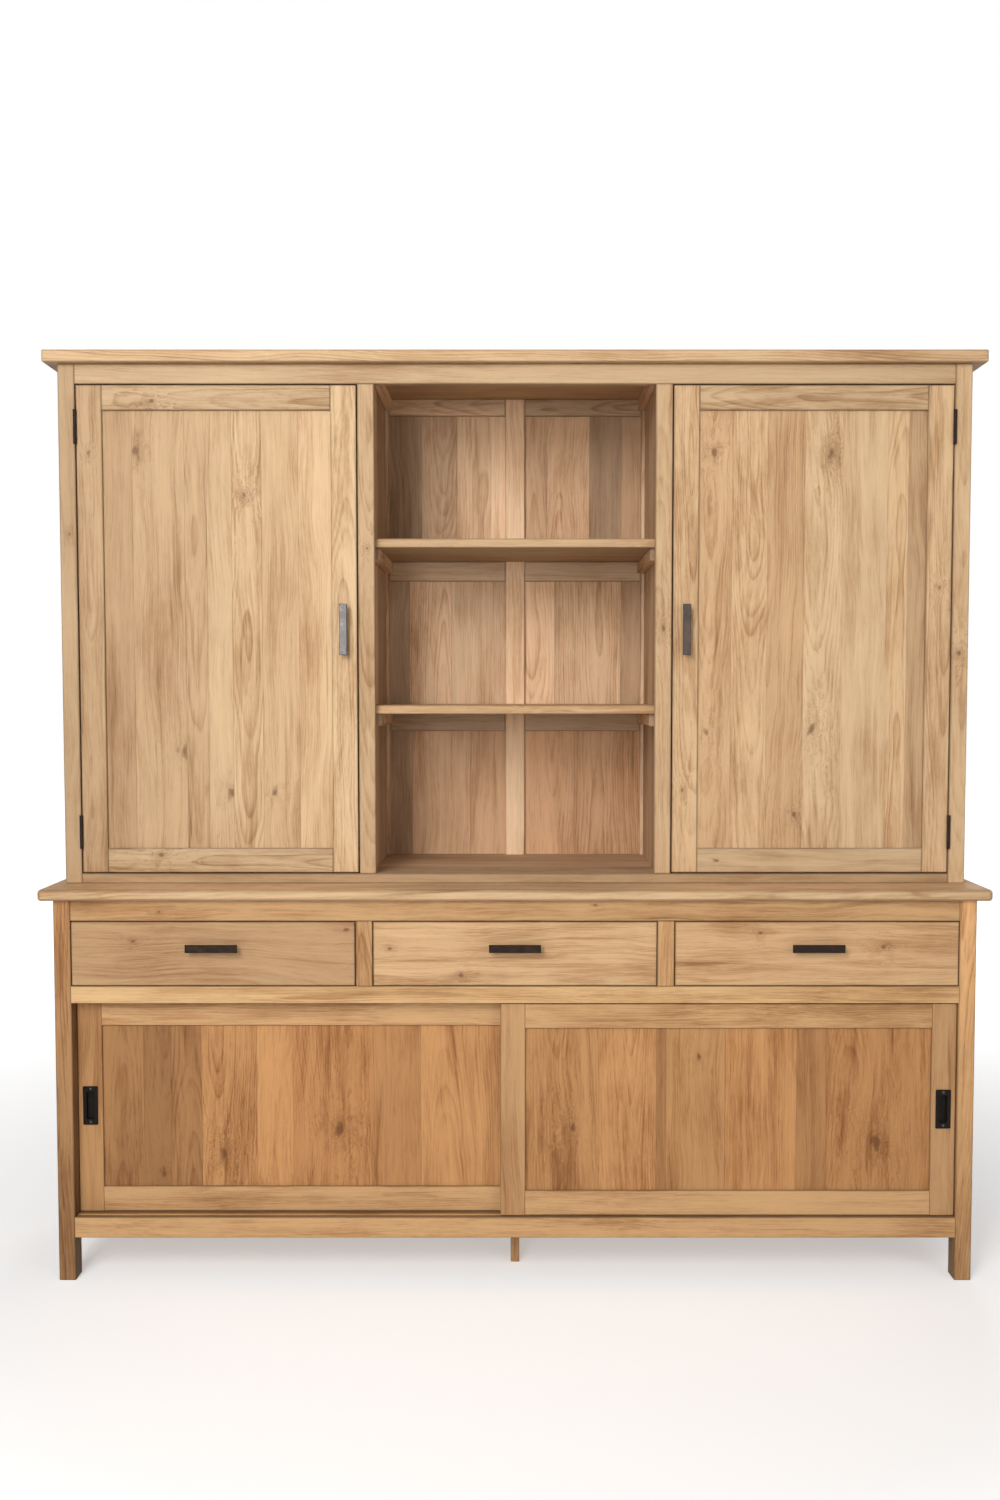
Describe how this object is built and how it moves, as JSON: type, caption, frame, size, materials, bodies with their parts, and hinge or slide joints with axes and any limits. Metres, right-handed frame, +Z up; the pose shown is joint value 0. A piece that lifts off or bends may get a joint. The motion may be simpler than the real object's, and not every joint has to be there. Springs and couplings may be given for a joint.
{
  "type": "storage cupboard",
  "caption": "Teak hutch cupboard: hinged panel doors beside open shelves, on a base with drawers over by-passing sliding doors",
  "frame": {"origin": "On the floor below the middle of the cupboard's box", "axes": "+Z up, +X to the viewer's right along the front, +Y from the front to the back"},
  "size_m": [2.2, 0.508, 2.176],
  "materials": {
    "teak_hutch": "oiled golden teak with open grain",
    "teak_base": "oiled teak, deeper orange brown",
    "teak_inside": "reddish brown teak, matt",
    "dark_iron": "blackened iron, slightly worn"
  },
  "bodies": {
    "cupboard": {"base_front_legs": "teak_base", "base_back_legs": "teak_base", "base_bottom_rail": "teak_base", "base_drawer_rail": "teak_base", "base_top_rail": "teak_base", "drawer_dividers": "teak_base", "base_side_rails": "teak_base", "base_side_panels": "teak_base", "base_back_frame": "teak_inside", "base_back_boards": "teak_inside", "base_floor": "teak_inside", "centre_foot": "teak_base", "drawer_runners": "teak_inside", "countertop": "teak_hutch", "hutch_stiles": "teak_hutch", "hutch_sill_rail": "teak_hutch", "hutch_top_rail": "teak_hutch", "hutch_sides": "teak_hutch", "hutch_partitions": "teak_inside", "hutch_floor": "teak_inside", "hutch_back_frame": "teak_inside", "hutch_back_boards": "teak_inside", "centre_shelves": "teak_inside", "side_shelves": "teak_inside", "shelf_cleats": "teak_inside", "cornice": "teak_hutch", "frame_hinge_leaves": "dark_iron", "hinge_pins": "dark_iron"},
    "left_door": {"left_door_stiles": "teak_hutch", "left_door_rails": "teak_hutch", "left_door_panel": "teak_hutch", "left_door_handle": "dark_iron", "left_door_hinge_leaves": "dark_iron"},
    "right_door": {"right_door_stiles": "teak_hutch", "right_door_rails": "teak_hutch", "right_door_panel": "teak_hutch", "right_door_handle": "dark_iron", "right_door_hinge_leaves": "dark_iron"},
    "left_drawer": {"left_drawer_front": "teak_base", "left_drawer_box": "teak_inside", "left_drawer_bottom": "teak_inside", "left_drawer_handle": "dark_iron"},
    "centre_drawer": {"centre_drawer_front": "teak_base", "centre_drawer_box": "teak_inside", "centre_drawer_bottom": "teak_inside", "centre_drawer_handle": "dark_iron"},
    "right_drawer": {"right_drawer_front": "teak_base", "right_drawer_box": "teak_inside", "right_drawer_bottom": "teak_inside", "right_drawer_handle": "dark_iron"},
    "left_sliding_door": {"left_sliding_door_stiles": "teak_base", "left_sliding_door_rails": "teak_base", "left_sliding_door_panel": "teak_base", "left_sliding_door_pull": "dark_iron"},
    "right_sliding_door": {"right_sliding_door_stiles": "teak_base", "right_sliding_door_rails": "teak_base", "right_sliding_door_panel": "teak_base", "right_sliding_door_pull": "dark_iron"}
  },
  "joints": [
    {"name": "left_door_hinge", "type": "hinge", "parent": "cupboard", "child": "left_door", "pos_m": [-1.0305, -0.142, 1.5255], "axis": [0, 0, -1], "range_deg": [0, 165]},
    {"name": "right_door_hinge", "type": "hinge", "parent": "cupboard", "child": "right_door", "pos_m": [1.0305, -0.142, 1.5255], "axis": [0, 0, 1], "range_deg": [0, 165]},
    {"name": "left_drawer_slide", "type": "slide", "parent": "cupboard", "child": "left_drawer", "axis": [0, -1, 0], "range_m": [0, 0.32]},
    {"name": "centre_drawer_slide", "type": "slide", "parent": "cupboard", "child": "centre_drawer", "axis": [0, -1, 0], "range_m": [0, 0.32]},
    {"name": "right_drawer_slide", "type": "slide", "parent": "cupboard", "child": "right_drawer", "axis": [0, -1, 0], "range_m": [0, 0.32]},
    {"name": "left_sliding_door_slide", "type": "slide", "parent": "cupboard", "child": "left_sliding_door", "axis": [1, 0, 0], "range_m": [0, 0.998]},
    {"name": "right_sliding_door_slide", "type": "slide", "parent": "cupboard", "child": "right_sliding_door", "axis": [1, 0, 0], "range_m": [-0.998, 0]}
  ]
}
